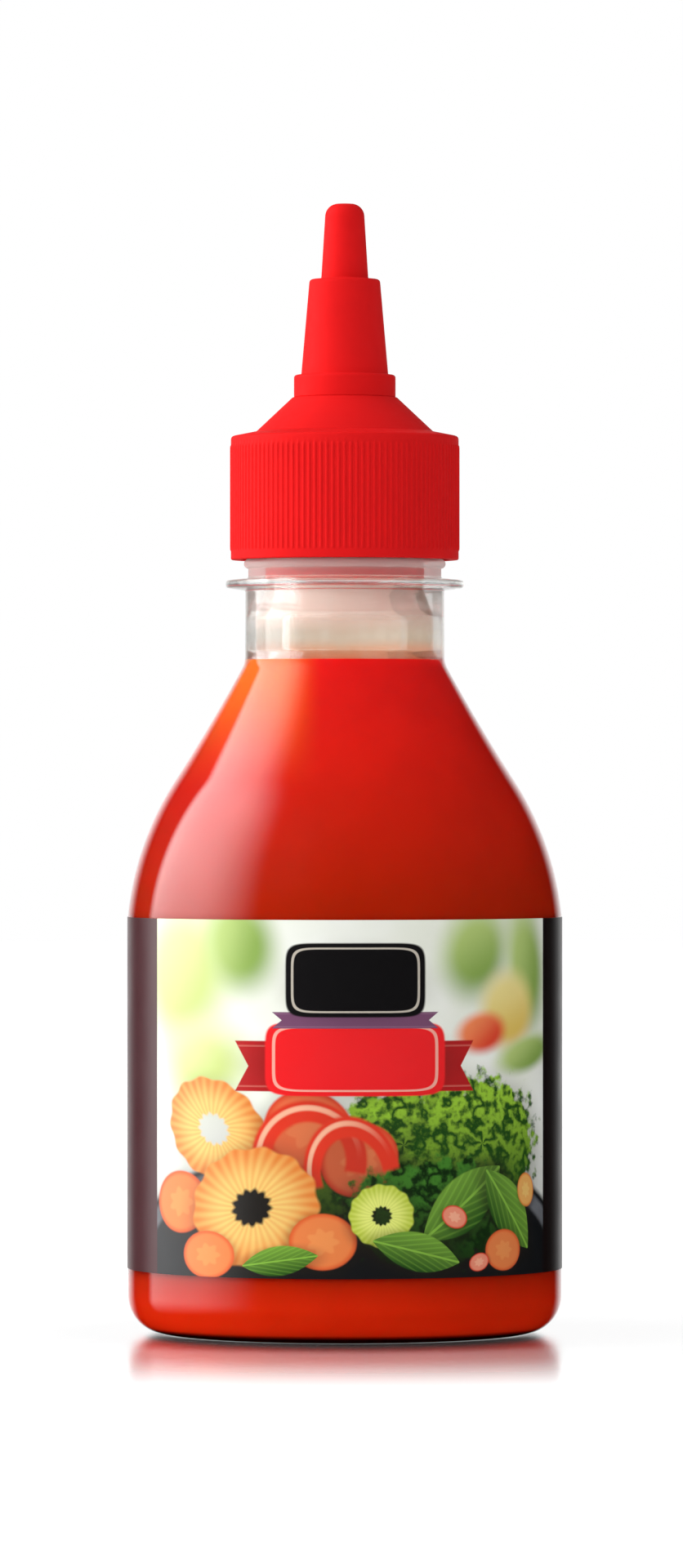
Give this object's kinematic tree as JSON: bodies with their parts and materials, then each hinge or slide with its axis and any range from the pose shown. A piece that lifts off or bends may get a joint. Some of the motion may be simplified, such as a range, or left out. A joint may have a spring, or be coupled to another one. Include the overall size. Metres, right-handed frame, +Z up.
{
  "type": "bottle of sweet and sour sauce",
  "caption": "Shut clear plastic squeeze bottle of red sweet and sour sauce with a wrap-around picture label and a red ribbed screw cap with a stepped twist nozzle.",
  "frame": {"origin": "middle of the standing ring, on the surface that the bottle stands on", "axes": "+Z up along the bottle's axis to the nozzle's tip; the front of the label faces -Y and its seam faces +Y"},
  "size_m": [0.06, 0.0601, 0.1556],
  "materials": {
    "clear_plastic": "clear blown PET, glossy",
    "sauce": "thick cloudy red sauce, wet",
    "label_film": "printed film, satin",
    "red_plastic": "moulded polypropylene, satin",
    "nozzle_plastic": "moulded polypropylene, satin"
  },
  "bodies": {
    "root": {"bottle": "clear_plastic", "sauce": "sauce", "label": "label_film", "cap": "red_plastic", "nozzle": "nozzle_plastic"}
  },
  "joints": []
}
